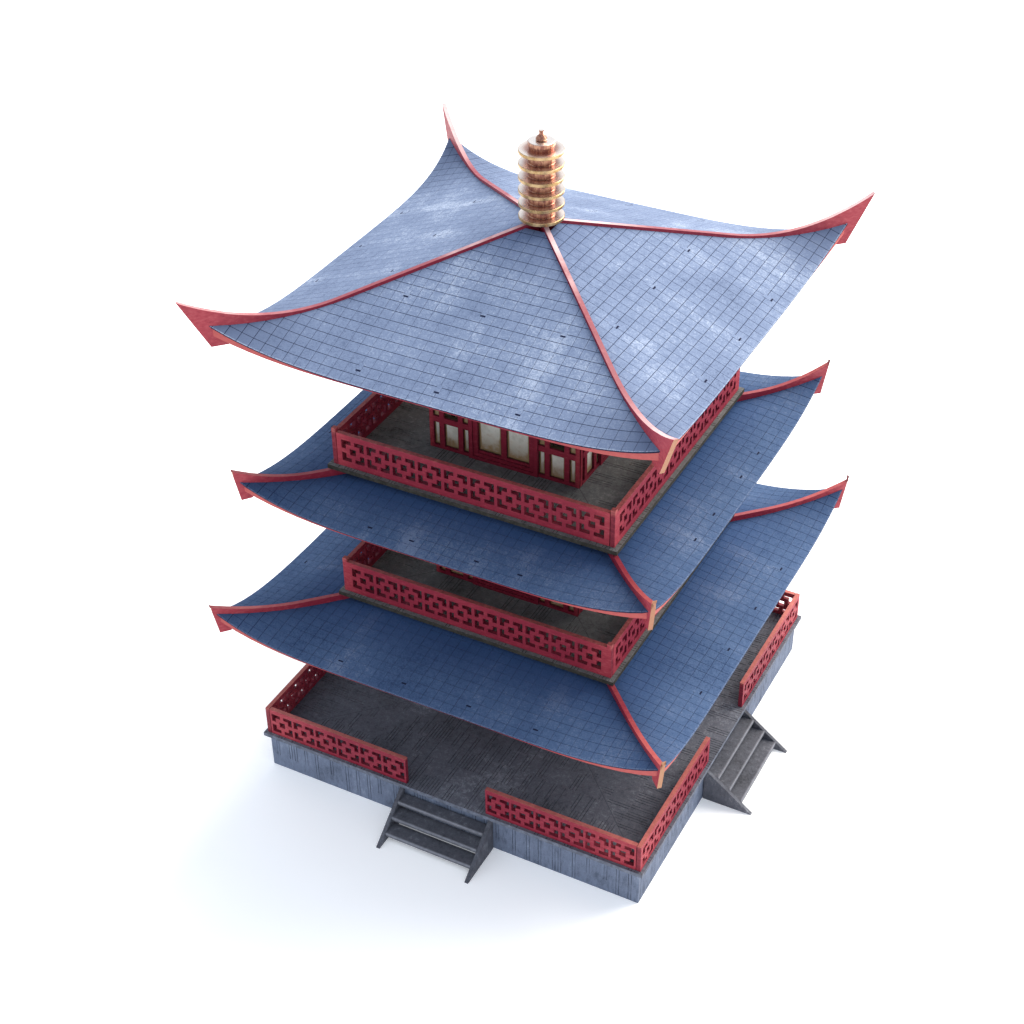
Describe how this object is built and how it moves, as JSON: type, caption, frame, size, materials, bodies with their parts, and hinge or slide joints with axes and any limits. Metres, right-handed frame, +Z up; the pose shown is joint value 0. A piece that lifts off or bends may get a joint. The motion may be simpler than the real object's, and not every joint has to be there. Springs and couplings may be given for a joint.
{
  "type": "three-storey pagoda table model",
  "caption": "Tabletop pagoda with curved hipped roofs, fret railings on balconies and plinth, open stairs and a ringed finial.",
  "frame": {"origin": "middle of the plinth's underside, at ground level", "axes": "+Z up; -Y is the front and +X the right, the two sides that the picture shows"},
  "size_m": [0.2454, 0.2454, 0.3125],
  "materials": {
    "red_painted_board": "satin crimson paint on thin board, salmon rubbed edges",
    "grey_painted_board": "matt blue-grey paint with a dark wash and pale edges",
    "charcoal_painted_board": "matt charcoal paint, dry-brushed planks",
    "blue_painted_card": "matt mottled slate-blue paint on embossed card",
    "gold_painted_finial": "metallic gold paint shaded with copper-brown"
  },
  "bodies": {
    "root": {"plinth_front_wall": "grey_painted_board", "plinth_right_wall": "grey_painted_board", "plinth_back_wall": "grey_painted_board", "plinth_left_wall": "grey_painted_board", "plinth_deck": "charcoal_painted_board", "ground_front_railing_left": "red_painted_board", "ground_front_railing_right": "red_painted_board", "ground_right_railing_left": "red_painted_board", "ground_right_railing_right": "red_painted_board", "ground_back_railing_left": "red_painted_board", "ground_back_railing_right": "red_painted_board", "ground_left_railing_left": "red_painted_board", "ground_left_railing_right": "red_painted_board", "front_stairs": "grey_painted_board", "right_stairs": "grey_painted_board", "back_stairs": "grey_painted_board", "left_stairs": "grey_painted_board", "storey_1_front_door": "red_painted_board", "storey_1_right_door": "red_painted_board", "storey_1_back_door": "red_painted_board", "storey_1_left_door": "red_painted_board", "storey_1_front_wall": "red_painted_board", "storey_1_right_wall": "red_painted_board", "storey_1_back_wall": "red_painted_board", "storey_1_left_wall": "red_painted_board", "storey_2_front_wall": "red_painted_board", "storey_2_right_wall": "red_painted_board", "storey_2_back_wall": "red_painted_board", "storey_2_left_wall": "red_painted_board", "storey_3_front_wall": "red_painted_board", "storey_3_right_wall": "red_painted_board", "storey_3_back_wall": "red_painted_board", "storey_3_left_wall": "red_painted_board", "balcony_1_plate": "charcoal_painted_board", "balcony_1_front_railing": "red_painted_board", "balcony_1_right_railing": "red_painted_board", "balcony_1_back_railing": "red_painted_board", "balcony_1_left_railing": "red_painted_board", "balcony_2_plate": "charcoal_painted_board", "balcony_2_front_railing": "red_painted_board", "balcony_2_right_railing": "red_painted_board", "balcony_2_back_railing": "red_painted_board", "balcony_2_left_railing": "red_painted_board", "roof_1_front_cover": "blue_painted_card", "roof_1_right_cover": "blue_painted_card", "roof_1_back_cover": "blue_painted_card", "roof_1_left_cover": "blue_painted_card", "roof_1_frame": "red_painted_board", "roof_2_front_cover": "blue_painted_card", "roof_2_right_cover": "blue_painted_card", "roof_2_back_cover": "blue_painted_card", "roof_2_left_cover": "blue_painted_card", "roof_2_frame": "red_painted_board", "roof_3_front_cover": "blue_painted_card", "roof_3_right_cover": "blue_painted_card", "roof_3_back_cover": "blue_painted_card", "roof_3_left_cover": "blue_painted_card", "roof_3_frame": "red_painted_board", "finial": "gold_painted_finial"}
  },
  "joints": []
}
